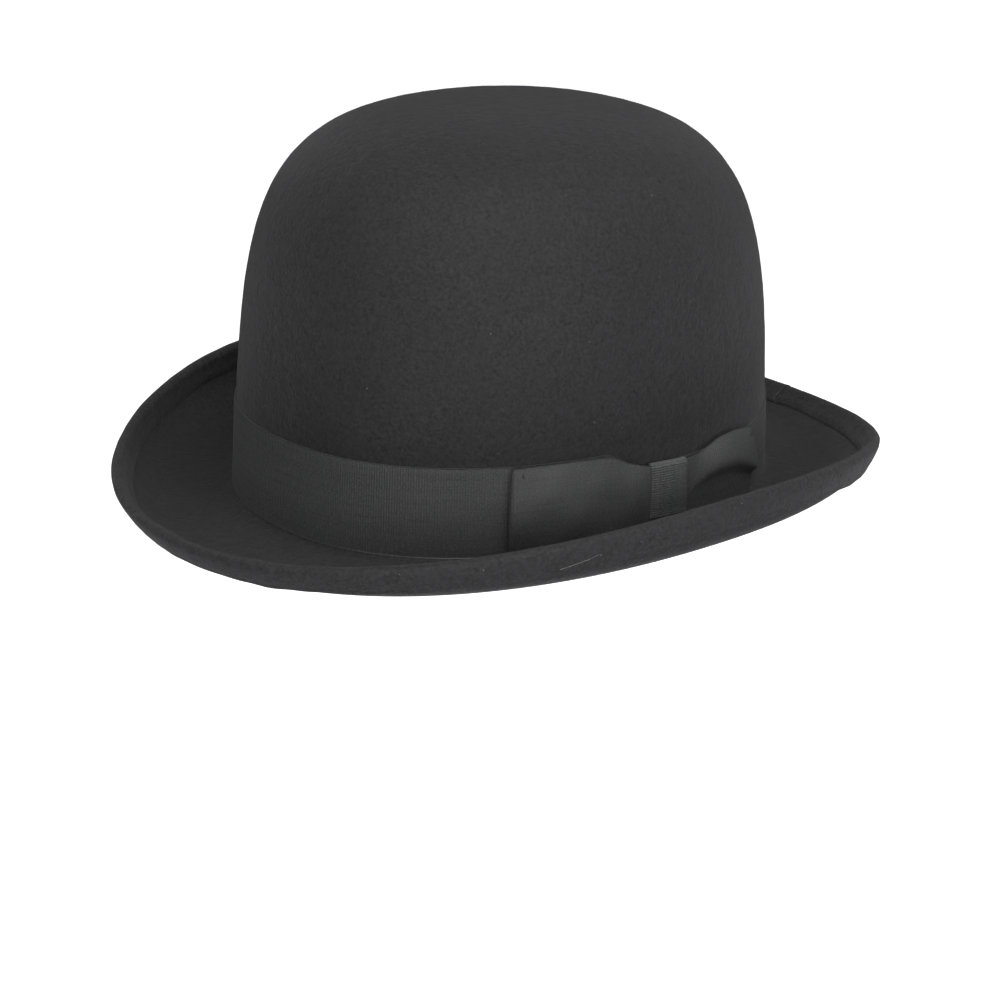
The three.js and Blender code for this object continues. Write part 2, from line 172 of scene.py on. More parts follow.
def brim_point(angle, length, lift):
    """The brim's middle surface at a length from the break, lifted off it at a right angle."""
    angle, length, lift = np.broadcast_arrays(angle, length, lift)
    point, normal = oval(angle)
    width = brim_width(angle)
    start, end = around(BRIM_START, angle), around(BRIM_END, angle)
    share = length / width
    middles = (np.arange(48) + 0.5) / 48
    turns = (share[..., None] * middles) ** BRIM_ROLL_POWER
    slopes = start[..., None] + (end - start)[..., None] * turns
    slope = start + (end - start) * share**BRIM_ROLL_POWER
    out = np.cos(slopes).mean(-1) * length - np.sin(slope) * lift
    sag = (0.9 * MM * swell(angle, -104, 22) + 0.7 * MM * swell(angle, -20, 34)) * share**2
    up = around(BRIM_DIP, angle) + np.sin(slopes).mean(-1) * length + np.cos(slope) * lift - sag
    return np.concatenate([point + normal * out[..., None], up[..., None]], -1)


def edge_point(angle, turn, radius):
    """A point round the brim's edge: a turn of 90 degrees is the upper side, 0 the outer edge."""
    angle, turn = np.broadcast_arrays(angle, np.radians(turn))
    width = brim_width(angle)
    centre = brim_point(angle, width, 0)
    up = (brim_point(angle, width, MM) - centre) / MM
    _, normal = oval(angle)
    sideways = np.stack([-normal[..., 1], normal[..., 0], 0 * turn], -1)
    out = np.cross(sideways, up)
    return centre + radius * (up * np.sin(turn)[..., None] + out * np.cos(turn)[..., None])


def smoothstep(value, low, high):
    share = np.clip((value - low) / (high - low), 0, 1)
    return share * share * (3 - 2 * share)


def along_line(points):
    """How far along a line of points each one is."""
    return np.concatenate([[0], np.cumsum(np.linalg.norm(np.diff(points, axis=0), axis=1))])


def ripple(points, wavelength, seed, waves=14):
    """A smooth random field over points, within about -1 to 1."""
    random = np.random.default_rng(seed)
    ways = random.normal(size=(waves, 3))
    ways /= np.linalg.norm(ways, axis=1, keepdims=True)
    reach = TURN / wavelength * random.uniform(0.7, 1.3, waves)
    phase = random.uniform(0, TURN, waves)
    total = np.zeros(points.shape[:-1])
    for way, rate, start in zip(ways, reach, phase):
        total += np.sin(points @ way * rate + start)
    return total / math.sqrt(waves) / 1.4


# ---- Meshes --------------------------------------------------------------------------------------


def build_mesh(name, points, faces, look, uv=None):
    """A smooth object from points, faces and one material."""
    mesh = bpy.data.meshes.new(name)
    mesh.from_pydata(points.tolist(), [], faces)
    mesh.polygons.foreach_set("use_smooth", np.full(len(faces), True))
    if uv is not None:
        corners = uv[np.concatenate(faces)]
        mesh.uv_layers.new(name="UVMap").data.foreach_set("uv", corners.astype(np.float32).ravel())
    mesh.materials.append(look)
    piece = bpy.data.objects.new(name, mesh)
    bpy.context.scene.collection.objects.link(piece)
    return piece


def turned_out(points, faces):
    """Quads, turned round if need be so that they face out of the piece."""
    a, b, c, d = (points[faces[:, k]] for k in range(4))
    volume = (a * (np.cross(b, c) + np.cross(c, d))).sum()
    return faces[:, ::-1] if volume < 0 else faces


def grid_faces(columns, rows, first=0, wrap=False):
    """Quads of a grid whose point (i, j) is number first + i * rows + j."""
    i = np.arange(columns if wrap else columns - 1)
    j = np.arange(rows - 1)
    i, j = np.meshgrid(i, j, indexing="ij")
    after = (i + 1) % columns
    quad = np.stack([i * rows + j, after * rows + j, after * rows + j + 1, i * rows + j + 1], -1)
    return first + quad.reshape(-1, 4)


def dome(name, outer, inner, look, lift=0.0, mapped=False):
    """A closed thin cap from two grids of points, whose rows run from the top to the rim. One more
    point closes each grid at the top, and the outer one is lifted. A mapped cap's UV is its plan."""
    columns, rows = outer.shape[:2]
    count = columns * rows
    tops = np.stack([outer[:, 0].mean(0) + [0, 0, lift], inner[:, 0].mean(0)])
    points = np.concatenate([outer.reshape(-1, 3), inner.reshape(-1, 3), tops])
    i = np.arange(columns)
    low, high = i * rows, (i + 1) % columns * rows
    near, far = low + rows - 1, high + rows - 1
    rim = np.stack([count + near, count + far, far, near], -1)
    quads = [grid_faces(columns, rows, 0, True), grid_faces(columns, rows, count, True)[:, ::-1], rim]
    top = np.stack([np.full(columns, 2 * count), high, low], -1)
    under = np.stack([np.full(columns, 2 * count + 1), count + low, count + high], -1)
    faces = np.concatenate(quads).tolist() + top.tolist() + under.tolist()
    return build_mesh(name, points, faces, look, points[:, :2] if mapped else None)


def two_sided(name, front, back, look, uv=None):
    """A closed thin piece from two facing grids of points, joined round their rims."""
    columns, rows = front.shape[:2]
    count = columns * rows
    points = np.concatenate([front.reshape(-1, 3), back.reshape(-1, 3)])
    faces = [grid_faces(columns, rows), grid_faces(columns, rows, count)[:, ::-1]]
    i, j = np.arange(columns - 1) * rows, np.arange(rows - 1)
    rims = [
        (i, i + rows, True),
        (i + rows - 1, i + 2 * rows - 1, False),
        (j, j + 1, False),
        (j + (columns - 1) * rows, j + (columns - 1) * rows + 1, True),
    ]
    for near, far, as_it_is in rims:
        rim = np.stack([near, far, count + far, count + near], -1)
        faces.append(rim if as_it_is else rim[:, ::-1])
    if uv is not None:
        uv = np.concatenate([uv.reshape(-1, 2), uv.reshape(-1, 2)])
    return build_mesh(name, points, turned_out(points, np.concatenate(faces)), look, uv)


def surface_normals(surface, wrap=False):
    """The unit normal at each point of a grid of points."""
    along = (np.roll(surface, -1, 0) - np.roll(surface, 1, 0)) if wrap else np.gradient(surface, axis=0)
    across = np.gradient(surface, axis=1)
    normal = np.cross(along, across)
    return normal / np.maximum(np.linalg.norm(normal, axis=-1, keepdims=True), 1e-12)


def thread(points, radius, sides=6):
    """Points and faces of a closed round thread along a path."""
    points = np.asarray(points, float)
    along = np.gradient(points, axis=0)
    along /= np.linalg.norm(along, axis=1, keepdims=True)
    helper = np.array([0.31, 0.17, 0.94])
    side = np.cross(along, helper)
    side /= np.linalg.norm(side, axis=1, keepdims=True)
    other = np.cross(along, side)
    turn = np.arange(sides) * TURN / sides
    taper = np.ones(len(points))
    taper[[0, -1]] = 0.35
    ring = side[:, None] * np.cos(turn)[:, None] + other[:, None] * np.sin(turn)[:, None]
    tube = points[:, None] + ring * (radius * taper)[:, None, None]
    i, j = np.meshgrid(np.arange(len(points) - 1), np.arange(sides), indexing="ij")
    after = (j + 1) % sides
    low, high = i * sides, (i + 1) * sides
    faces = np.stack([low + j, low + after, high + after, high + j], -1).reshape(-1, 4).tolist()
    count = len(points) * sides
    for k in range(sides):
        beside = (k + 1) % sides
        faces.append([count, beside, k])
        faces.append([count + 1, count - sides + k, count - sides + beside])
    return np.concatenate([tube.reshape(-1, 3), points[[0, -1]]]), faces


def threads(name, paths, radius, look, sides=6):
    """One piece made of many short threads."""
    points, faces = [], []
    start = 0
    for path in paths:
        tube, sheath = thread(path, radius, sides)
        faces += [[corner + start for corner in face] for face in sheath]
        points.append(tube)
        start += len(tube)
    return build_mesh(name, np.concatenate(points), faces, look)


def place(piece, node):
    """Sets a piece in its CAD node's place."""
    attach(piece, "root")
    if node:
        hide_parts(node)


# ---- Materials -----------------------------------------------------------------------------------


class Look:
    """A material under construction."""

    def __init__(self, name, **sockets):
        self.material = bpy.data.materials.new(name)
        self.material.use_nodes = True
        self.nodes = self.material.node_tree.nodes
        self.links = self.material.node_tree.links
        self.shader = self.nodes["Principled BSDF"]
        for socket, value in sockets.items():
            self.shader.inputs[socket.replace("_", " ")].default_value = value

    def node(self, kind, **settings):
        """A new node. A setting that is the node's own is set there, and any other is an input."""
        made = self.nodes.new(kind)
        for setting, value in settings.items():
            if hasattr(made, setting):
                setattr(made, setting, value)
                continue
            socket = made.inputs[setting.replace("_", " ")]
            if isinstance(value, bpy.types.NodeSocket):
                self.links.new(value, socket)
            else:
                socket.default_value = value
        return made

    def where(self, source="Object", scale=(1, 1, 1)):
        """Where a point is, from the object or its UV map, stretched by a scale."""
        point = self.node("ShaderNodeTexCoord").outputs[source]
        return self.node("ShaderNodeMapping", Vector=point, Scale=scale).outputs[0]

    def noise(self, where, scale, detail=4.0, roughness=0.6, twist=0.0):
        kinds = {"Scale": scale, "Detail": detail, "Roughness": roughness, "Distortion": twist}
        return self.node("ShaderNodeTexNoise", Vector=where, **kinds).outputs["Fac"]

    def between(self, value, low, high, to_low=0.0, to_high=1.0):
        """A value carried from one range to another and kept inside it."""
        ends = {"From_Min": low, "From_Max": high, "To_Min": to_low, "To_Max": to_high}
        return self.node("ShaderNodeMapRange", Value=value, **ends).outputs[0]

    def mix(self, share, first, second):
        made = self.node("ShaderNodeMix", data_type="RGBA")
        for socket, value in ((0, share), (6, first), (7, second)):
            if isinstance(value, bpy.types.NodeSocket):
                self.links.new(value, made.inputs[socket])
            else:
                made.inputs[socket].default_value = value
        return made.outputs[2]

    def fade(self, value, low, high, first, second, most=1.0):
        """A colour that goes from the first towards the second, by most, as a value rises."""
        return self.mix(self.between(value, low, high, 0, most), first, second)

    def colour(self, value):
        self.links.new(value, self.shader.inputs["Base Color"])

    def roughness(self, value):
        self.links.new(value, self.shader.inputs["Roughness"])

    def bump(self, height, distance, strength=1.0, under=None):
        made = self.node("ShaderNodeBump", Height=height, Distance=distance, Strength=strength)
        if under is not None:
            self.links.new(under, made.inputs["Normal"])
        self.links.new(made.outputs[0], self.shader.inputs["Normal"])
        return made.outputs[0]


def grey(level, blue=1.0, red=1.0):
    return (level * red, level, level * blue, 1)


def felt_look(name, level=0.019):
    """Wool felt: matted fibres of mixed darkness, a soft sheen, and a few pale specks of lint."""
    look = Look(
        name,
        Roughness=0.62,
        Sheen_Weight=0.28,
        Sheen_Roughness=0.45,
        Sheen_Tint=grey(0.55, 1.03, 1.01),
        Specular_IOR_Level=0.15,
    )
    where = look.where()
    fine = look.noise(where, 760, 5, 0.75, 0.3)
    clumps = look.noise(where, 260, 4, 0.65, 0.3)
    clouds = look.noise(where, 28, 3, 0.5)
    dark = grey(level * 0.3, 1.04, 1.0)
    light = grey(level * 2.0, 1.06, 1.02)
    base = look.fade(fine, 0.32, 0.68, dark, light)
    base = look.fade(clumps, 0.4, 0.62, base, grey(level * 1.4, 1.08, 1.03), 0.35)
    base = look.fade(clouds, 0.35, 0.65, base, grey(level * 0.8, 1.04, 1.0), 0.25)
    specks = look.node("ShaderNodeTexVoronoi", Vector=where, Scale=95).outputs["Distance"]
    base = look.mix(look.between(specks, 0.018, 0.03, 0.75, 0), base, grey(0.16, 1.03))
    look.colour(base)
    first = look.bump(fine, 0.42 * MM, 1.0)
    look.bump(clumps, 0.6 * MM, 0.8, first)
    return look.material


def nap_look(name, level=0.03):
    """Loose wool fibres standing off the felt."""
    look = Look(name, Roughness=0.9, Sheen_Weight=0.15, Sheen_Roughness=0.5, Specular_IOR_Level=0.1)
    tone = look.noise(look.where(), 400, 2, 0.5)
    dark, light = grey(level * 0.6, 1.06), grey(level * 1.7, 1.08, 1.03)
    look.colour(look.fade(tone, 0.35, 0.65, dark, light))
    return look.material


def ribbon_look(name, level=0.042):
    """Grosgrain: lustrous warp threads over the ribs, with faint streaks along the ribbon, and pale
    specks along the ribs that are partly the threads' own tone and partly painted highlights.
    """
    look = Look(
        name,
        Roughness=0.55,
        Sheen_Weight=0.25,
        Sheen_Roughness=0.4,
        Sheen_Tint=grey(0.5),
        Specular_IOR_Level=0.4,
    )
    threads_along = look.noise(look.where("UV", (60, 4200, 1)), 1.0, 2, 0.5)
    streaks = look.noise(look.where("UV", (14, 420, 1)), 1.0, 3, 0.6)
    patches = look.noise(look.where("UV", (60, 60, 1)), 1.0, 3, 0.5)
    dark, light = grey(level * 0.6, 1.0, 0.98), grey(level * 1.35, 1.0, 0.98)
    base = look.fade(threads_along, 0.3, 0.7, dark, light)
    base = look.fade(streaks, 0.4, 0.62, base, grey(level * 1.45, 1.0, 0.97), 0.45)
    base = look.fade(patches, 0.4, 0.7, base, grey(level * 0.75, 1.02, 0.98), 0.3)
    # Pale specks at the ribs' pitch: partly the threads' own tone, partly painted highlights on the
    # ribs.
    picks_and_rib_glints = look.noise(look.where("UV", (1050, 2400, 1)), 1.0, 1, 0.4)
    base = look.fade(picks_and_rib_glints, 0.44, 0.62, base, grey(level * 2.1, 1.0, 0.99), 0.6)
    look.colour(base)
    look.roughness(look.between(streaks, 0.3, 0.7, 0.62, 0.48))
    first = look.bump(picks_and_rib_glints, 0.1 * MM, 0.8)
    look.bump(threads_along, 0.06 * MM, 0.6, first)
    return look.material


def lint_look(name):
    """Pale dust and lint."""
    look = Look(name, Roughness=0.8, Specular_IOR_Level=0.2)
    tone = look.noise(look.where(), 500, 2, 0.5)
    look.colour(look.fade(tone, 0.35, 0.65, grey(0.16), grey(0.4, 0.98)))
    return look.material


def leather_look(name):
    """Dark roan leather: pebbled grain, creases, and a polish where it is handled."""
    look = Look(name, Roughness=0.45, Specular_IOR_Level=0.5, Coat_Weight=0.08, Coat_Roughness=0.4)
    where = look.where()
    grain = look.node("ShaderNodeTexVoronoi", Vector=where, Scale=1100).outputs["Distance"]
    creases = look.noise(where, 150, 5, 0.6)
    tone = look.noise(where, 35, 3, 0.5)
    base = look.fade(tone, 0.35, 0.65, (0.016, 0.011, 0.009, 1), (0.03, 0.022, 0.018, 1))
    base = look.fade(creases, 0.45, 0.6, base, (0.04, 0.03, 0.025, 1), 0.4)
    look.colour(base)
    look.roughness(look.between(creases, 0.3, 0.7, 0.38, 0.6))
    first = look.bump(grain, 0.12 * MM, 0.8)
    look.bump(creases, 0.2 * MM, 0.4, first)
    return look.material


def satin_look(name, level=0.02):
    """Black satin: long floats that shine across one way more than the other."""
    look = Look(name, Roughness=0.32, Specular_IOR_Level=0.55, Anisotropic=0.5, Sheen_Weight=0.1)
    floats = look.noise(look.where("UV", (5200, 260, 1)), 1.0, 2, 0.5)
    tone = look.noise(look.where(), 45, 3, 0.5)
    base = look.fade(floats, 0.3, 0.7, grey(level * 0.8, 1.15), grey(level * 1.3, 1.2))
    look.colour(look.fade(tone, 0.4, 0.7, base, grey(level * 1.6, 1.15), 0.35))
    look.roughness(look.between(floats, 0.3, 0.7, 0.27, 0.4))
    look.bump(floats, 0.03 * MM, 0.5)
    return look.material


def plastic_look(name):
    """The reed's off-white plastic, drawn out in fine lines."""
    look = Look(name, Roughness=0.4, Specular_IOR_Level=0.45)
    lines = look.noise(look.where("Object", (1, 1, 4)), 700, 2, 0.5)
    look.colour(look.fade(lines, 0.3, 0.7, (0.5, 0.47, 0.4, 1), (0.62, 0.59, 0.52, 1)))
    look.bump(lines, 0.05 * MM, 0.4)
    return look.material


def thread_look(name, level=0.02):
    """Twisted sewing thread."""
    look = Look(name, Roughness=0.6, Sheen_Weight=0.2, Specular_IOR_Level=0.3)
    twist = look.noise(look.where(), 2600, 2, 0.5)
    look.colour(look.fade(twist, 0.3, 0.7, grey(level * 0.6), grey(level * 1.6)))
    look.bump(twist, 0.05 * MM, 0.6)
    return look.material


def steel_look(name):
    """Drawn spring wire with a little oxide."""
    look = Look(name, Metallic=1.0, Roughness=0.38)
    where = look.where()
    oxide = look.noise(where, 240, 5, 0.6)
    look.colour(look.fade(oxide, 0.45, 0.7, (0.42, 0.42, 0.41, 1), (0.16, 0.13, 0.11, 1)))
    look.roughness(look.between(oxide, 0.3, 0.7, 0.3, 0.6))
    look.bump(look.noise(where, 1500, 2), 0.04 * MM, 0.4)
    return look.material


# ---- Felt body -----------------------------------------------------------------------------------

FELT_COLUMNS = 304
CROWN_ROWS = 118
FILLET_ROWS = 5
BRIM_ROWS = 40
FIRST_BRIM_ROW = CROWN_ROWS + FILLET_ROWS + 1
FILLET = 2.8 * MM


def even_rises(rows):
    """Rises from the top of the crown to its foot, evenly spaced along the curve."""
    foot = (FELT / 2 + FILLET) / CROWN_HEIGHT
    dense = 1 - (1 - foot) * np.linspace(0, 1, 4000) ** 2.5
    gone = along_line(crown_point(np.array(-0.7), dense, np.array(0.0)))
    return np.interp(np.linspace(0, gone[-1], rows + 1)[1:], gone, dense)


def bend(start, corner, end, rows):
    """Rows of points on a curve that leaves start, heads for corner and arrives at end."""
    share = np.linspace(0, 1, rows + 2)[1:-1, None]
    start, corner, end = (p[:, None] for p in (start, corner, end))
    return start * (1 - share) ** 2 + 2 * corner * share * (1 - share) + end * share**2


def felt_skin(angle, outward, lift):
    """One face of the felt body, from the top of the crown to the brim's edge."""
    column = angle[:, None]
    half = FELT / 2
    foot = half + FILLET
    width = brim_width(angle)
    crown = crown_point(column, even_rises(CROWN_ROWS), np.array(outward))
    start = wall_point(angle, np.array(foot), np.array(outward))
    corner = wall_point(angle, np.array(lift), np.array(outward))
    end = brim_point(angle, FILLET, lift)
    fillet = bend(start, corner, end, FILLET_ROWS)
    shares = np.linspace(0, 1, BRIM_ROWS)
    lengths = FILLET + (width[:, None] - FILLET - 1.1 * MM) * shares
    brim = brim_point(column, lengths, lift)
    return np.concatenate([crown, fillet, brim], 1)


# Where the crown's shoulder is fuller: degrees round, rise, how much, and how far it spreads.
SHOULDERS = [(50, 0.9, 1.5 * MM, 38 * MM), (-129, 0.82, 0.8 * MM, 30 * MM)]


def hand_made(points):
    """Small unevenness of blocked felt, smoothed where the band grips it."""
    soft = ripple(points, 55 * MM, 3) * 0.6 + ripple(points, 21 * MM, 4) * 0.4
    fine = ripple(points, 7 * MM, 5)
    free = smoothstep(points[..., 2], 34 * MM, 42 * MM) + 1 - smoothstep(points[..., 2], -2 * MM, 2 * MM)
    full = -0.02 * MM + free * (-0.05 * MM + 0.12 * MM * soft + 0.05 * MM * fine)
    for degrees, rise, height, spread in SHOULDERS:
        middle = crown_point(np.array(math.radians(degrees)), np.array(rise), np.array(0.0))
        away = np.linalg.norm(points - middle, axis=-1)
        full = full + height * np.exp(-((away / spread) ** 2))
    return full


def felt_body():
    """The body's felt. Its two faces and their way out are handed on for the nap."""
    angle = np.arange(FELT_COLUMNS) * TURN / FELT_COLUMNS
    front = felt_skin(angle, 0.0, FELT / 2)
    back = felt_skin(angle, -FELT, -FELT / 2)
    out = surface_normals(front, wrap=True)
    out *= np.sign((out[:, :60] * (front[:, :60] - HAT_MIDDLE)).sum())
    front = front + out * hand_made(front)[..., None]
    place(dome("felt", front, back, FELT_LOOK, 0.02 * MM), "felt_body")
    return front, back, out


def nap(name, skin, normals, count, seed, look, lie=0.12 * MM, reach=0.75 * MM, thick=1):
    """Loose fibres over a skin: most lie almost flat and a few stand up."""
    random = np.random.default_rng(seed)
    a, b, c = skin[:-1, :-1], skin[1:, :-1], skin[:-1, 1:]
    area = np.linalg.norm(np.cross(b - a, c - a), axis=-1)
    chance = (area / area.sum()).ravel()
    cells = random.choice(chance.size, count, p=chance)
    i, j = np.unravel_index(cells, area.shape)
    u, v = random.random((2, count, 1))
    across, down = b[i, j] - a[i, j], c[i, j] - a[i, j]
    root = a[i, j] + across * u + down * v
    out = normals[i, j]
    tangent = np.cross(out, random.normal(size=(count, 3)))
    tangent /= np.linalg.norm(tangent, axis=1, keepdims=True)
    sideways = np.cross(out, tangent)
    long = reach * random.uniform(0.5, 1.3, (count, 1))
    stand = lie * random.uniform(0.2, 1.6, (count, 1))
    stray = random.random((count, 1)) < 0.1
    stand = np.where(stray, long * random.uniform(0.35, 0.8, (count, 1)), stand)
    curl = long * random.uniform(-0.35, 0.35, (count, 1))
    middle = root + tangent * long * 0.5 + out * stand * 0.8 + sideways * curl * 0.5
    tip = root + tangent * long * 0.9 + out * stand + sideways * curl * 1.3
    root = root - out * 0.1 * MM
    flat = sideways + out * random.uniform(-1, 1, (count, 1))
    flat /= np.linalg.norm(flat, axis=1, keepdims=True)
    half = random.uniform(0.014, 0.028, (count, 1)) * MM * thick
    points = np.stack(
        [root - flat * half, root + flat * half, middle + flat * half, middle - flat * half, tip], 1
    )
    first = np.arange(count)[:, None] * 5
    faces = np.concatenate([first + [0, 1, 2], first + [0, 2, 3], first + [3, 2, 4]])
    place(build_mesh(name, points.reshape(-1, 3), faces, look), None)


# ---- Binding -------------------------------------------------------------------------------------

# The under leg is shorter than the frame's 10 mm.
BINDING_UNDER = 7.4 * MM
BINDING_COLUMNS = 640
BINDING_TURN = 14  # rows round the edge


def binding_skin(angle, radius):
    """One face of the felt strip over the brim's edge, from its upper raw edge to its lower one."""
    width = brim_width(angle)[:, None]
    column = angle[:, None]
    middle = brim_point(angle, width[:, 0], 0)
    wander = (0.35 * MM * ripple(middle, 34 * MM, 12) + 0.12 * MM * ripple(middle, 9 * MM, 13))[:, None]
    shares = np.concatenate([[0, 0.012, 0.04, 0.09], np.linspace(0.17, 1, 11)])
    upper = brim_point(column, width - (BINDING_TOP + wander) * (1 - shares), radius)
    turns = np.linspace(90, -90, BINDING_TURN + 2)[1:-1]
    over = edge_point(column, turns, radius)
    under = brim_point(column, width - (BINDING_UNDER - wander) * (1 - shares[::-1]), -radius)
    return np.concatenate([upper, over, under], 1)


def binding():
    """The felt strip. Its outer face and the way out of it are handed on for the nap and lint."""
    slit = math.radians(0.1)
    angle = np.linspace(BINDING_SEAM + slit, BINDING_SEAM + TURN - slit, BINDING_COLUMNS)
    inner = binding_skin(angle, FELT / 2 + 0.04 * MM)
    outer = binding_skin(angle, BINDING_INSIDE + BINDING_FELT)
    row = np.arange(inner.shape[1])
    edge = np.minimum(row, row[::-1])
    upper = np.interp(edge, range(7), [0.06, 0.16, 0.3, 0.46, 0.66, 0.86, 1])
    under = np.interp(edge, range(6), [0.75, 1.15, 1.35, 1.3, 1.12, 1])
    soft = np.where(row > len(row) / 2, under, upper)
    gone = along_line(inner[:, 15])
    lift = np.exp(-gone / (5 * MM)) * 0.25 * MM
    thick = outer - inner
    unit = thick / np.linalg.norm(thick, axis=-1, keepdims=True)
    uneven = ripple(outer, 12 * MM, 21) * 0.07 * MM + ripple(outer, 38 * MM, 22) * 0.1 * MM
    outer = inner + thick * soft[:, None] + unit * (uneven * soft + lift[:, None])[..., None]
    # The binding's felt is a lighter copy of the body's: painted highlight on the rolled edge.
    piece = two_sided("binding", outer, inner, BINDING_PAINTED_LIGHT_LOOK)
    place(piece, "brim_binding")
    return outer, unit


def lint_fibre(front, out):
    """One pale fibre of lint, curled over at one end, caught under the binding below the bow. Its
    route is given in degrees round the hat and in rows of the binding's face."""
    stops = [0, 0.5, 0.75, 0.875, 1]
    degrees = [331.8, 336.2, 337.8, 338.4, 338.0]
    down = [38.3, 36.2, 34.6, 34.9, 35.6]
    path = []
    for share in np.linspace(0, 1, 40):
        turn = math.radians(np.interp(share, stops, degrees)) - BINDING_SEAM
        i, j = turn / TURN * (BINDING_COLUMNS - 1), np.interp(share, stops, down)
        a, b = int(i), int(j)
        u, v = i - a, j - b
        near = front[a, b] * (1 - v) + front[a, b + 1] * v
        far = front[a + 1, b] * (1 - v) + front[a + 1, b + 1] * v
        path.append(near * (1 - u) + far * u + out[a, b] * 0.16 * MM)
    place(threads("lint_fibre", [path], 0.055 * MM, LINT_LOOK), None)


# ---- Grosgrain -----------------------------------------------------------------------------------

RIB_PITCH = 0.95 * MM
RIB_HEIGHT = 0.15 * MM
COLUMNS_PER_RIB = 6


def rib(along, pitch=RIB_PITCH):
    """Rounded ribs with narrow valleys, from 0 to 1."""
    return np.abs(np.sin(math.pi * along / pitch)) ** 0.8


def scallop(along, share, depth=0.12 * MM, pitch=RIB_PITCH):
    """How far the ribs push the two selvedges out."""
    return rib(along, pitch) * (np.abs(share) > 0.99) * np.sign(share) * depth


PLAIN_RIBS = (RIBBON_WIDTH, RIB_PITCH, RIB_HEIGHT)


def grosgrain(name, middle, along, share, look, thickness=RIBBON, weave=PLAIN_RIBS):
    """A ribbed ribbon from its middle surface, whose points are each a length along the flat ribbon
    and a share of half its width. Its weave is its width and the ribs' pitch and height."""
    width, pitch, height = weave
    normal = surface_normals(middle)
    lift = thickness / 2 - height / 2 + rib(along, pitch)[..., None] * height
    uv = np.stack(np.broadcast_arrays(along, share * width / 2), -1)
    return two_sided(name, middle + normal * lift, middle - normal * lift, look, uv)


def bow_angle(distance):
    """The angle at a distance from the middle of the bow, measured on the wall."""
    return BOW_ANGLE + distance / WALL_RADIUS


def soft_line(distance, points):
    """A line through a few points with its corners rounded off: each is a distance in millimetres
    and the value there."""
    stops, values = np.array(points).T
    shifts = np.array([-2, -1, 0, 1, 2]) * 0.8 * MM
    return sum(np.interp(distance + shift, stops * MM, values) for shift in shifts) / len(shifts)


def half_height(distance):
    """Half the ribbon's height at a distance from the middle of the bow, where the knot gathers it."""
    pinch = 1 - smoothstep(np.abs(distance), KNOT_WIDTH / 2, LOOP_PINCH)
    return RIBBON_WIDTH / 2 - pinch * (RIBBON_WIDTH - KNOT_HEIGHT) / 2


def selvedge_rows(inner):
    """Shares across a ribbon, closer together near its two selvedges."""
    side = np.array([0, 0.01, 0.03, 0.07])
    return np.concatenate([side, np.linspace(0.12, 0.88, inner), (1 - side)[::-1]]) * 2 - 1


BAND_THICK = 0.4 * MM


BEHIND_BOW = [(0, 8.3), (7, 8.4), (46, 8.8), (80, 10.5), (130, 15.875)]


def hat_band():
    """The band, its ends meeting under the bow. Behind the bow its upper edge runs low."""
    slit = 0.02 * MM / WALL_RADIUS
    dense = np.linspace(bow_angle(0) + slit, bow_angle(0) + TURN - slit, 4000)
    gone = along_line(wall_point(dense, np.array(BAND_MIDDLE), np.array(GAP + RIBBON / 2)))
    ribs = round(gone[-1] / RIB_PITCH)
    along = np.linspace(0, ribs * RIB_PITCH, ribs * COLUMNS_PER_RIB + 1)
    angle = np.interp(along / along[-1], gone / gone[-1], dense)
    share = selvedge_rows(5)
    turn = angle - bow_angle(0)
    behind = soft_line(turn * WALL_RADIUS, BEHIND_BOW) * MM
    before = half_height((TURN - turn) * WALL_RADIUS)
    half = np.where(share > 0, np.minimum(behind, before)[:, None], RIBBON_WIDTH / 2)
    height = BAND_MIDDLE + share * (half - 0.15 * MM) + scallop(along[:, None], share)
    wall = wall_point(angle[:, None], height, np.array(0.0))
    loose = 0.1 * MM + 0.06 * MM * ripple(wall, 46 * MM, 31)
    middle = wall_point(angle[:, None], height, BAND_THICK / 2 + loose)
    piece = grosgrain("band", middle, along[:, None], share, RIBBON_LOOK, BAND_THICK)
    place(piece, "hat_band")


BOW_INNER = 0.75 * MM
BOW_OUTER = BOW_INNER + 1.1 * MM


def bow_loop(name, way, length, puff, ridge, fall, trim, upper, lower, seed):
    """One loop: out along the band, round the fold and back. puff is how far its outer layer
    stands off at a distance, ridge the share of the height where it stands off most at a
    distance, fall how it drops away from there, trim how much shorter it is at a share of its
    height, and upper and lower its two edges at a distance."""
    start = 0.6 * MM
    reach = length - 2 * MM
    inner_layer = BOW_INNER + RIBBON / 2
    radius = (puff(reach) + BOW_OUTER - BOW_INNER) / 2
    straight = reach - start
    bow = math.pi * radius
    total = round((2 * straight + bow) / RIB_PITCH) * RIB_PITCH
    columns = round(total / RIB_PITCH) * COLUMNS_PER_RIB + 1
    along = np.linspace(0, total, columns)[:, None]
    share = selvedge_rows(19)[None]
    gone = along * ((2 * straight + bow) / total)
    turn = np.clip((gone - straight) / bow, 0, 1) * math.pi
    stop = np.where(gone < straight + bow / 2, start + gone, start + 2 * straight + bow - gone)
    stop = np.minimum(stop, reach)
    top_share = ridge(stop)
    above = np.clip((share - top_share) / (1 - top_share), 0, 1)
    below = np.clip((top_share - share) / (1 + top_share), 0, 1)
    crown = 1 - fall(above, below)
    far = BOW_OUTER - BOW_INNER + puff(stop) * crown
    outward = inner_layer + far * (1 - np.cos(turn)) / 2
    belly = far / 2 * np.sin(turn)
    distance = stop + belly - trim(share) * (stop / reach) ** 3
    hidden = (1 + np.cos(turn)) / 2
    sink = hidden * (0.6 * (puff(reach) + BOW_OUTER - BOW_INNER) + 0.4 * MM)
    top, bottom = upper(distance) - sink, lower(distance)
    height = (top + bottom) / 2 + share * (top - bottom) / 2
    height = height + scallop(along, share)
    wall = wall_point(bow_angle(way * distance), height, 0 * height)
    outward = outward + ripple(wall, 18 * MM, seed) * 0.22 * MM * (turn > 0)
    middle = wall_point(bow_angle(way * distance), height, outward)
    piece = grosgrain(name, middle, along, share, RIBBON_LOOK)
    place(piece, name + "_loop")


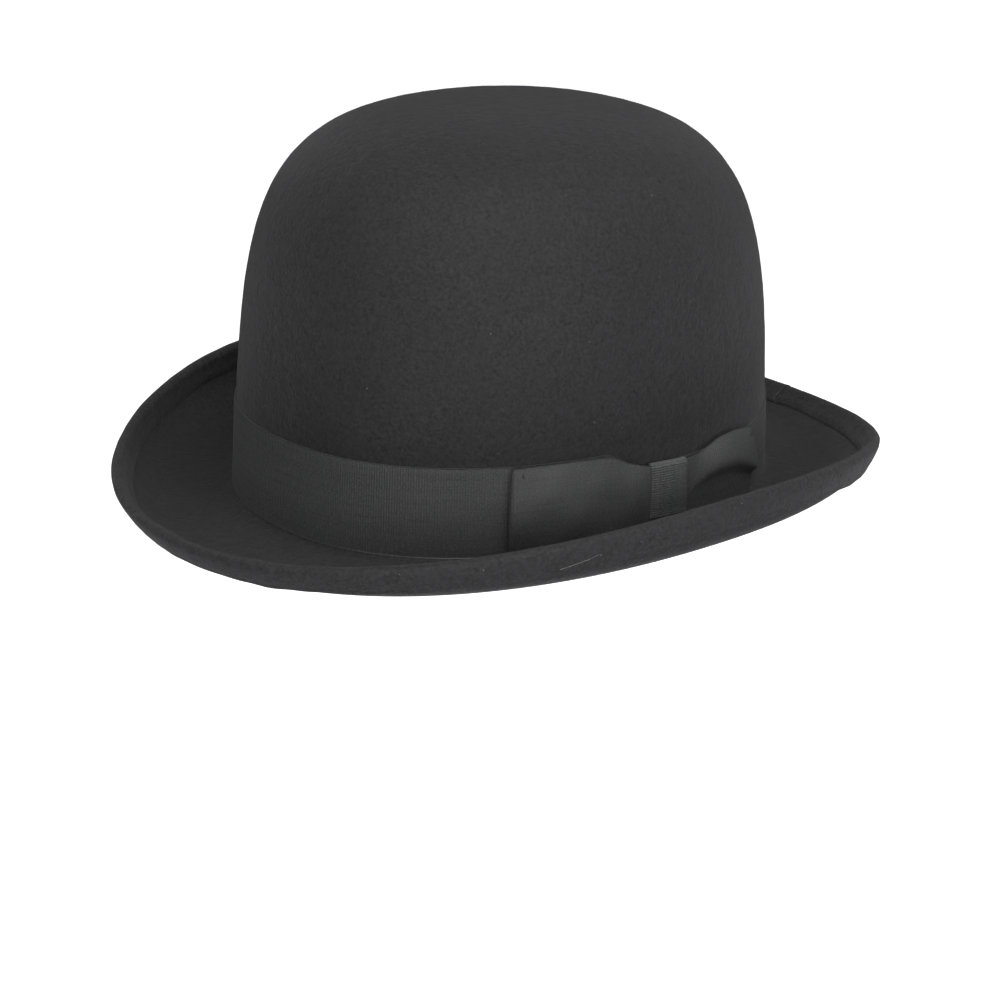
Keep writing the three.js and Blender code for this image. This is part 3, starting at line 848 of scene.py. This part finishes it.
def front_loop():
    """The loop in front of the knot lies flat, but for a swelling beside the knot."""

    def puff(stop):
        beside_knot = 0.9 * MM * np.exp(-(((stop - 11 * MM) / (6 * MM)) ** 2))
        return beside_knot + 1.7 * MM * smoothstep(stop, 7 * MM, 40 * MM)

    def ridge(stop):
        return 0 * stop - 0.1

    def fall(above, below):
        return 0.9 * (above + below) ** 1.8

    def trim(share):
        return 0 * share

    def upper(distance):
        beside_knot = [(0, 26.6), (7, 26.9), (11, 28.2), (15.8, 29.8), (19.4, 31.9), (23, 33.4)]
        return soft_line(distance, beside_knot + [(34, 34.1), (43, 34.1), (62, 33.6)]) * MM

    def lower(distance):
        return BAND_MIDDLE - 0.6 * RIBBON_WIDTH / 2 - 0.4 * half_height(distance)

    bow_loop("bow_front", -1, FRONT_LOOP, puff, ridge, fall, trim, upper, lower, 41)


def rear_loop():
    """The loop behind the knot stands off more, and its lower half is tucked in under a ridge."""

    def puff(stop):
        return 3.6 * MM * smoothstep(stop, 5.5 * MM, 24 * MM)

    def ridge(stop):
        shares = [(8, -0.6), (11.5, 0.05), (16, 0.24), (21.7, 0.34), (34.6, 0.22), (49, -0.2)]
        return soft_line(stop, shares)

    def fall(above, below):
        return 0.75 * above**1.6 + 0.72 * smoothstep(below, 0.0, 0.34) + 0.2 * below

    def trim(share):
        return 2.6 * MM * smoothstep(share, -0.1, 1.2) + 1.0 * MM * smoothstep(-share, 0.3, 1.0)

    def upper(distance):
        beside_knot = [(0, 25.4), (8, 25.7), (13, 26.4), (19.4, 28.9), (24, 30.3)]
        return soft_line(distance, beside_knot + [(34, 30.5), (46, 28.6), (52, 26.5)]) * MM

    def lower(distance):
        return BAND_MIDDLE - 0.5 * RIBBON_WIDTH / 2 - 0.5 * half_height(distance) + 0.6 * MM

    bow_loop("bow_rear", 1, REAR_LOOP, puff, ridge, fall, trim, upper, lower, 43)


KNOT_TAIL = 3 * MM  # the knot reaches this much further down than up


def bow_knot():
    """The ribbon wrapped over the middle of the bow and tucked in above and below."""
    tall = KNOT_HEIGHT / 2 + GAP + RIBBON / 2
    back = BOW_INNER + 0.3 * MM
    front = BOW_OUTER + RIBBON + 0.35 * MM
    corner = 1.5 * MM
    depth = front - back - corner
    face = 2 * (tall - corner) + KNOT_TAIL
    quarter = corner * math.pi / 2
    pitch = 0.87 * MM
    reach = 2 * depth + 2 * quarter + face
    total = round(reach / pitch) * pitch
    columns = round(total / pitch) * 8 + 1
    along = np.linspace(0, total, columns)[:, None]
    gone = along * (reach / total)
    share = selvedge_rows(9)[None]
    first = np.clip((gone - depth) / quarter, 0, 1) * math.pi / 2
    second = np.clip((gone - depth - quarter - face) / quarter, 0, 1) * math.pi / 2
    up = tall - corner * (1 - np.cos(first))
    up = up - np.clip(gone - depth - quarter, 0, face) - corner * np.sin(second)
    out = back + np.clip(gone, 0, depth) + corner * np.sin(first)
    out = out - corner * (1 - np.cos(second)) - np.clip(gone - depth - 2 * quarter - face, 0, depth)
    round_face = np.cos(np.clip(up / tall, -1, 1) * math.pi / 2)
    puff = 0.45 * MM * (1 - share**2) * round_face
    waist = 1 - 0.03 * round_face
    distance = share * KNOT_WIDTH / 2 * waist + scallop(along, share, 0.1 * MM, pitch)
    height = BAND_MIDDLE + up - 0.08 * distance
    middle = wall_point(bow_angle(distance), height, out + puff)
    weave = (KNOT_WIDTH, pitch, 0.2 * MM)
    # The knot's material is a lighter copy of the grosgrain: painted light.
    piece = grosgrain("knot", middle, along, share, KNOT_PAINTED_LIGHT_LOOK, RIBBON, weave)
    place(piece, "bow_knot")


def tack_stitches():
    """Small stitches that hold the loops' ends down. Each pair is given by its distance from the
    bow's middle, its height and how far out it is."""
    spots = np.array([(-57.5, 31, 3.0), (-56.5, 6, 3.2), (44, 26.5, 4.6)]) * MM
    paths = []
    for distance, height, outward in spots:
        for k, slant in enumerate((0.5, -0.35)):
            share = np.linspace(-1, 1, 7)
            rise = height + share * 0.9 * MM
            place_on = distance + share * slant * 0.5 * MM + k * 0.35 * MM
            lift = outward + 0.3 * MM * (1 - share**2) - 0.12 * MM
            paths.append(wall_point(bow_angle(place_on), rise, lift))
    place(threads("bow_tacks", paths, 0.13 * MM, THREAD_LOOK), None)


# ---- Sweatband, reed and lining ------------------------------------------------------------------


def seam_angles(count, slit):
    return np.linspace(REAR + slit, REAR + TURN - slit, count)


def sweatband():
    """The leather: its upper edge waves a little, and two grooves run along below it."""
    angle = seam_angles(520, math.radians(0.25))[:, None]
    share = np.concatenate([[0, 0.01], np.linspace(0.04, 0.96, 22), [0.99, 1]])[None]
    free = smoothstep(share, 0.35, 1.0)
    wave = ripple(wall_point(angle, 0 * angle, 0 * angle), 70 * MM, 51) * free
    height = SWEATBAND_LOW + share * (SWEATBAND_HIGH - SWEATBAND_LOW) + 0.25 * MM * wave
    lean = -0.5 * MM * free * (0.6 + 0.4 * wave)
    rounded = 1 - 0.45 * (np.exp(-share * 60) + np.exp(-(1 - share) * 60))
    groove = 0.18 * MM * sum(np.exp(-(((share - line) / 0.012) ** 2)) for line in (0.93, 0.9))
    middle = LEATHER_BACK - LEATHER / 2 + lean
    back = wall_point(angle, height, middle + LEATHER / 2 * rounded)
    face = wall_point(angle, height, middle - LEATHER / 2 * rounded + groove)
    piece = two_sided("sweatband_leather", face, back, LEATHER_LOOK)
    place(piece, "sweatband")


def sweatband_stitches():
    """A row of stitches through the leather and the reed's tape, and a laced seam at the back."""
    pitch = math.radians(1.72)
    bare = math.radians(3)
    paths = []
    share = np.linspace(-1, 1, 5)
    low = np.full(5, SWEATBAND_LOW + 2.9 * MM)
    for k in range(round((TURN - 2 * bare) / pitch)):
        middle = REAR + bare + (k + 0.5) * pitch
        lift = LEATHER_FACE - 0.14 * MM * (1 - share**2)
        paths.append(wall_point(middle + share * pitch * 0.36, low, lift))
    share = np.linspace(-1, 1, 6)
    for k in range(9):
        height = SWEATBAND_LOW + (4 + 3 * k) * MM
        for way in (-1, 1):
            lift = LEATHER_FACE - 0.35 * MM - 0.2 * MM * (1 - share**2)
            across = REAR + share * 1.9 * MM / HEAD_HALF_LENGTH * 1.1
            paths.append(wall_point(across, height + way * share * 1.4 * MM, lift))
    stitching = threads("sweatband_stitching", paths, 0.2 * MM, THREAD_LOOK, 5)
    place(stitching, None)


def ring_tube(name, centre_at, radius, look, columns=420, sides=12, twist=0.0):
    """A cord that runs once round the hat."""
    angle = np.arange(columns) * TURN / columns
    centre = centre_at(angle)
    along = np.roll(centre, -1, 0) - np.roll(centre, 1, 0)
    along /= np.linalg.norm(along, axis=1, keepdims=True)
    side = np.cross(along, [0, 0, 1.0])
    side /= np.linalg.norm(side, axis=1, keepdims=True)
    up = np.cross(side, along)
    turn = (np.arange(sides) * TURN / sides)[None, :]
    strand = radius * (1 + twist * np.sin(2 * turn + angle[:, None] * 320))
    tube = centre[:, None] + strand[..., None] * (
        side[:, None] * np.cos(turn)[..., None] + up[:, None] * np.sin(turn)[..., None]
    )
    i, j = np.meshgrid(np.arange(columns), np.arange(sides), indexing="ij")
    low, high, beside = i * sides, (i + 1) % columns * sides, (j + 1) % sides
    faces = np.stack([low + j, high + j, high + beside, low + beside], -1).reshape(-1, 4)
    uv = np.stack(np.broadcast_arrays(angle[:, None] * 0.1, turn * radius), -1).reshape(-1, 2)
    points = tube.reshape(-1, 3)
    return build_mesh(name, points, turned_out(points, faces), look, uv)


def reed():
    """The plastic cord in the tape's fold, under the leather's lower edge."""

    def centre(angle):
        return wall_point(angle, np.array(REED_HEIGHT), np.array(LEATHER_BACK - REED_RADIUS))

    place(ring_tube("reed", centre, REED_RADIUS, PLASTIC_LOOK), "sweatband_reed")


def tape_skin(angle, radius, tall, short):
    """One face of the tape folded under the reed."""
    turns = np.radians(np.linspace(0, -180, 12))
    column = angle[:, None]
    around_reed = wall_point(
        column,
        REED_HEIGHT + radius * np.sin(turns),
        LEATHER_BACK - REED_RADIUS + radius * np.cos(turns),
    )
    tall_leg = wall_point(column, np.linspace(9 * MM, REED_HEIGHT + 0.6 * MM, 10), np.array(tall))
    short_leg = wall_point(
        column, np.linspace(REED_HEIGHT + 0.8 * MM, SWEATBAND_LOW + 2 * MM, 5), np.array(short)
    )
    return np.concatenate([tall_leg, around_reed, short_leg], 1)


def reed_tape():
    angle = seam_angles(520, math.radians(0.25))
    inside = REED_RADIUS + GAP
    face = LEATHER_FACE - GAP
    outer = tape_skin(angle, inside + TAPE, BEHIND_FELT, face - TAPE)
    inner = tape_skin(angle, inside, BEHIND_FELT - TAPE, face)
    along = angle[:, None] * 0.095 + 0 * np.arange(outer.shape[1])
    across = np.arange(outer.shape[1])[None] * 0.7 * MM + 0 * along
    uv = np.stack([along, across], -1)
    piece = two_sided("reed_tape_fold", outer, inner, TAPE_LOOK, uv=uv)
    place(piece, "sweatband_reed_tape")


LINING_SEAM = 56  # degrees round the crown's curve, where the side meets the tip
LINING_LOW = 14 * MM


def lining_outward(rise):
    """The lining comes away from the felt towards the top."""
    return BEHIND_FELT - 2.5 * MM * rise**3


def side_lining():
    """The satin round the inside of the crown, gathered a little into the seam at the tip."""
    angle = seam_angles(880, math.radians(0.25))[:, None]
    low = LINING_LOW / CROWN_HEIGHT
    rises = np.linspace(low**1.2, rise_at(LINING_SEAM - 1) ** 1.2, 56)[None] ** (1 / 1.2)
    share = (rises - low) / (rises.max() - low)
    wobble = 0.35 * np.sin(angle * 7 + 1) + 0.2 * np.sin(angle * 17)
    folds = np.sin(angle * 74 + 3 * wobble) * smoothstep(share, 0.45, 1.0) * 0.35 * MM
    swags = ripple(crown_point(angle, rises, 0 * rises), 42 * MM, 61) * 0.5 * MM * share
    inward = 0.75 * MM * share + folds + swags
    back = crown_point(angle, rises, lining_outward(rises) - inward)
    face = crown_point(angle, rises, lining_outward(rises) - inward - SATIN)
    uv = np.stack(np.broadcast_arrays(angle * 0.095, rises * CROWN_HEIGHT), -1)
    piece = two_sided("lining_side", face, back, SATIN_LOOK, uv=uv)
    place(piece, "side_lining")


def tip_lining():
    """The oval of satin under the top of the crown, a little puckered where it is sewn in."""
    columns, rows = 360, 40
    angle = (np.arange(columns) * TURN / columns)[:, None]
    edge = rise_at(LINING_SEAM + 1)
    reach = np.linspace(0, 1, rows + 1)[1:][None]
    rises = 1 - (1 - edge) * reach**1.9
    flat = crown_point(angle, rises, lining_outward(rises))
    pucker = np.sin(angle * 60 + np.sin(angle * 9)) * smoothstep(reach, 0.8, 1.0) * 0.3 * MM
    sag = ripple(flat, 38 * MM, 62) * 0.6 * MM
    inward = 0.9 * MM + pucker + sag
    back = crown_point(angle, rises, lining_outward(rises) - inward)
    face = crown_point(angle, rises, lining_outward(rises) - inward - SATIN)
    piece = dome("lining_tip", back, face, SATIN_LOOK, mapped=True)
    place(piece, "tip_lining")


def piping():
    """The cord of satin over the seam between the lining's side and tip."""
    radius = 0.7 * MM
    rise = rise_at(LINING_SEAM)

    def centre(angle):
        outward = lining_outward(rise) - SATIN - GAP - radius * 1.3
        return crown_point(angle, np.array(rise), np.array(outward - 0.5 * MM))

    piece = ring_tube("piping", centre, radius, SATIN_LOOK, 900, 12, 0.08)
    place(piece, "lining_piping")


TAB_WIDTH = 20 * MM
TAB_HEIGHT = 11 * MM
TAB_LOW = 14 * MM
TAB_ANGLE = math.radians(62)


def label_tab():
    """A small blank woven tab on the leather."""
    across = np.linspace(-1, 1, 41)[:, None]
    up = np.linspace(0, 1, 25)[None]
    back = LEATHER_FACE - GAP - 0.2 * MM - 0.25 * MM * up**2
    angle = TAB_ANGLE + across * TAB_WIDTH / 2 / HEAD_HALF_LENGTH
    height = TAB_LOW + TAB_HEIGHT * up
    weave = 0.03 * MM * np.sin(across * 60) * np.sin(up * 60)
    face = wall_point(angle, height, back - SATIN + weave)
    behind = wall_point(angle, height, back + 0 * angle)
    uv = np.stack(np.broadcast_arrays(across * TAB_WIDTH / 2, up * TAB_HEIGHT), -1)
    piece = two_sided("size_label", face, behind, TAPE_LOOK, uv=uv)
    place(piece, "size_tab")


def back_bow():
    """The small flat bow over the leather's seam: two loops of narrow ribbon and a wrap."""
    low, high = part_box("sweatband_bow")
    middle = (low + high) / 2
    reach, tall = (high.x - low.x) / 2, (high.z - low.z) / 2
    front = low.y
    points, faces = [], []

    def add(grid):
        columns, rows = grid.shape[:2]
        first = sum(len(p) for p in points)
        faces.append(grid_faces(columns, rows, first))
        points.append(grid.reshape(-1, 3))

    share = np.linspace(0, 1, 25)[:, None]
    side = np.linspace(-1, 1, 17)[None]
    for way in (-1, 1):
        for layer in (0, 1):
            x = middle.x + way * reach * (0.06 + 0.94 * share)
            waist = 0.38 + 0.62 * smoothstep(share, 0.0, 0.55)
            z = middle.z + tall * side * waist
            notch = way * reach * 0.12 * (1 - np.abs(side)) * smoothstep(share, 0.7, 1.0)
            bulge = np.sin(share * math.pi) * 0.8 * MM * (1 - 0.5 * side**2)
            y = front + 0.55 * MM * layer - bulge * (1 - layer) + 0.2 * MM * share
            add(np.stack(np.broadcast_arrays(x - notch * layer, y, z), -1))
    turn = np.linspace(0, TURN, 25)[:, None]
    x = middle.x + 1.5 * MM * side
    y = front + 0.3 * MM - 1.0 * MM * np.cos(turn)
    z = middle.z + 1.9 * MM * np.sin(turn)
    add(np.stack(np.broadcast_arrays(x, y, z), -1))
    all_points = np.concatenate(points)
    all_faces = turned_out(all_points, np.concatenate(faces))
    uv = all_points[:, [0, 2]]
    piece = build_mesh("leather_bow", all_points, all_faces, RIBBON_LOOK, uv)
    solid = piece.modifiers.new("thickness", "SOLIDIFY")
    solid.thickness = 0.25 * MM
    solid.offset = 0
    place(piece, "sweatband_bow")


# ---- Studio --------------------------------------------------------------------------------------


def studio_floor():
    """A plain white floor some way below the hat. It is drawn from above only, so that a view from
    below shows the hat's inside."""
    drop = -0.42
    half = 6.0
    corners = half * np.array([(-1, -1, 0), (1, -1, 0), (1, 1, 0), (-1, 1, 0)]) + [0, 0, drop]
    look = Look("studio_white", Base_Color=(0.9, 0.9, 0.9, 1), Roughness=0.9)
    look.shader.inputs["Emission Color"].default_value = (1, 1, 1, 1)
    look.shader.inputs["Emission Strength"].default_value = 1.0
    behind = look.node("ShaderNodeNewGeometry").outputs["Backfacing"]
    clear = look.node("ShaderNodeBsdfTransparent")
    choice = look.node("ShaderNodeMixShader")
    look.links.new(behind, choice.inputs[0])
    look.links.new(look.shader.outputs[0], choice.inputs[1])
    look.links.new(clear.outputs[0], choice.inputs[2])
    look.links.new(choice.outputs[0], look.nodes["Material Output"].inputs["Surface"])
    floor = build_mesh("studio_floor", corners, [(0, 1, 2, 3)], look.material)
    for way in ("diffuse", "glossy", "shadow"):
        setattr(floor, "visible_" + way, False)


def way_out(azimuth, elevation):
    """The way from the hat towards an azimuth, which is 0 in front of it, and an elevation."""
    a, e = math.radians(azimuth), math.radians(elevation)
    return Vector((math.sin(a) * math.cos(e), -math.cos(a) * math.cos(e), math.sin(e)))


def soft_light(name, azimuth, elevation, size, power):
    """A square soft box at an azimuth from the camera's and an elevation, facing the hat."""
    way = way_out(CAMERA_AZIMUTH + azimuth, elevation)
    data = bpy.data.lights.new(name, "AREA")
    data.shape = "RECTANGLE"
    data.size = data.size_y = size
    data.energy = power
    lamp = bpy.data.objects.new(name, data)
    lamp.location = Vector(HAT_MIDDLE) + way * SOFT_BOX_DISTANCE
    lamp.rotation_euler = (-way).to_track_quat("-Z", "Y").to_euler()
    lamp.visible_camera = False
    bpy.context.scene.collection.objects.link(lamp)
    return lamp


SOFT_BOX_DISTANCE = 1.7

# Each soft box: its azimuth from the camera's, its elevation, and its power in watts.
SOFT_BOXES = {
    "high_right": (60, 62, 15.0),
    "high_left": (-60, 62, 4.6),
    "overhead": (0, 90, 1.7),
    "left": (-45, 35, 3.8),
    "low_right": (45, 5, 7.4),
    "low_left": (-45, 5, 2.0),
    "front": (0, 5, 6.1),
    "bounce_front": (0, -35, 17.8),
    "bounce_back": (180, -35, 5.0),
    "back_left": (-140, 20, 1.8),
    "back_right": (140, 20, 1.8),
}


def studio_lights():
    """Soft boxes all round and below, as in a white tent, in front of a plain white backdrop."""
    world = bpy.data.worlds.new("studio_air")
    world.use_nodes = True
    nodes, links = world.node_tree.nodes, world.node_tree.links
    nodes["Background"].inputs["Color"].default_value = (1, 1, 1, 1)
    seen = nodes.new("ShaderNodeLightPath").outputs["Is Camera Ray"]
    strength = nodes.new("ShaderNodeMapRange")
    strength.inputs["To Min"].default_value = 0.06
    links.new(seen, strength.inputs["Value"])
    links.new(strength.outputs[0], nodes["Background"].inputs["Strength"])
    bpy.context.scene.world = world
    for name, (azimuth, elevation, power) in SOFT_BOXES.items():
        soft_light(name, azimuth, elevation, 0.9, power)
    # A smaller lamp only for the crown's shine.
    soft_light("gloss", 18, 52, 0.5, 30).visible_diffuse = False
    bpy.context.scene.view_settings.view_transform = "Standard"


CAMERA_AZIMUTH = 50.627
CAMERA_ELEVATION = 17.273
CAMERA_ROLL = 0.776
CAMERA_YAW = -0.072
CAMERA_PITCH = 3.770
CAMERA_DISTANCE = 1.05
CAMERA_LENS = 102.06


def turned(first, second, degrees):
    """Two axes turned in their own plane."""
    turn = math.radians(degrees)
    return (
        first * math.cos(turn) + second * math.sin(turn),
        second * math.cos(turn) - first * math.sin(turn),
    )


def camera():
    """A long lens in front of the hat and to its left, a little above it, and tilted so that the
    hat sits above the middle of the picture."""
    back = way_out(CAMERA_AZIMUTH, CAMERA_ELEVATION)
    right = way_out(CAMERA_AZIMUTH + 90, 0)
    place_at = Vector(HAT_MIDDLE) + back * CAMERA_DISTANCE
    right, up = turned(right, back.cross(right), CAMERA_ROLL)
    right, back = turned(right, back, CAMERA_YAW)
    back, up = turned(back, up, CAMERA_PITCH)
    data = bpy.data.cameras.new("camera")
    data.lens = CAMERA_LENS
    data.sensor_width = 36
    data.clip_start, data.clip_end = 0.05, 50
    eye = bpy.data.objects.new("camera", data)
    eye.matrix_world = Matrix.Translation(place_at) @ Matrix((right, up, back)).transposed().to_4x4()
    bpy.context.scene.collection.objects.link(eye)
    bpy.context.scene.camera = eye


# ---- Assembly ------------------------------------------------------------------------------------

FELT_LOOK = felt_look("wool_felt")
# The binding is the body's felt painted lighter: painted highlight for the rolled edge catching the
# light.
BINDING_PAINTED_LIGHT_LOOK = felt_look("edge_felt_painted_lighter", 0.0225)
NAP_LOOK = nap_look("wool_nap")
RIBBON_LOOK = ribbon_look("grosgrain")
# The knot is the band's grosgrain painted lighter: painted light for the knot catching more light than
# the band and loops.
KNOT_PAINTED_LIGHT_LOOK = ribbon_look("knot_grosgrain_painted_lighter", 0.06)
LINT_LOOK = lint_look("pale_lint")
LEATHER_LOOK = leather_look("roan_leather")
SATIN_LOOK = satin_look("black_satin")
TAPE_LOOK = ribbon_look("woven_tape", 0.025)
PLASTIC_LOOK = plastic_look("reed_plastic")
THREAD_LOOK = thread_look("black_thread")

camera()
studio_floor()
studio_lights()

felt_front, felt_back, felt_out = felt_body()
binding_front, binding_out = binding()
nap("felt_nap", felt_front, felt_out, 60000, 71, NAP_LOOK)
under, under_out = felt_back[:, FIRST_BRIM_ROW:], -felt_out[:, FIRST_BRIM_ROW:]
nap("felt_nap_under", under, under_out, 14000, 72, NAP_LOOK)
nap("binding_nap", binding_front, binding_out, 26000, 73, NAP_LOOK)
nap("lint_crown", felt_front, felt_out, 90, 74, LINT_LOOK, 0.1 * MM, 0.9 * MM, 3.5)
nap("lint_edge", binding_front, binding_out, 110, 75, LINT_LOOK, 0.1 * MM, 0.8 * MM, 3.5)
lint_fibre(binding_front, binding_out)
for make in (hat_band, front_loop, rear_loop, bow_knot, tack_stitches):
    make()
for make in (sweatband, sweatband_stitches, reed, reed_tape):
    make()
for make in (side_lining, tip_lining, piping, label_tab, back_bow):
    make()

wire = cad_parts["brim_wire"]
wire.data.materials.clear()
wire.data.materials.append(steel_look("spring_wire"))
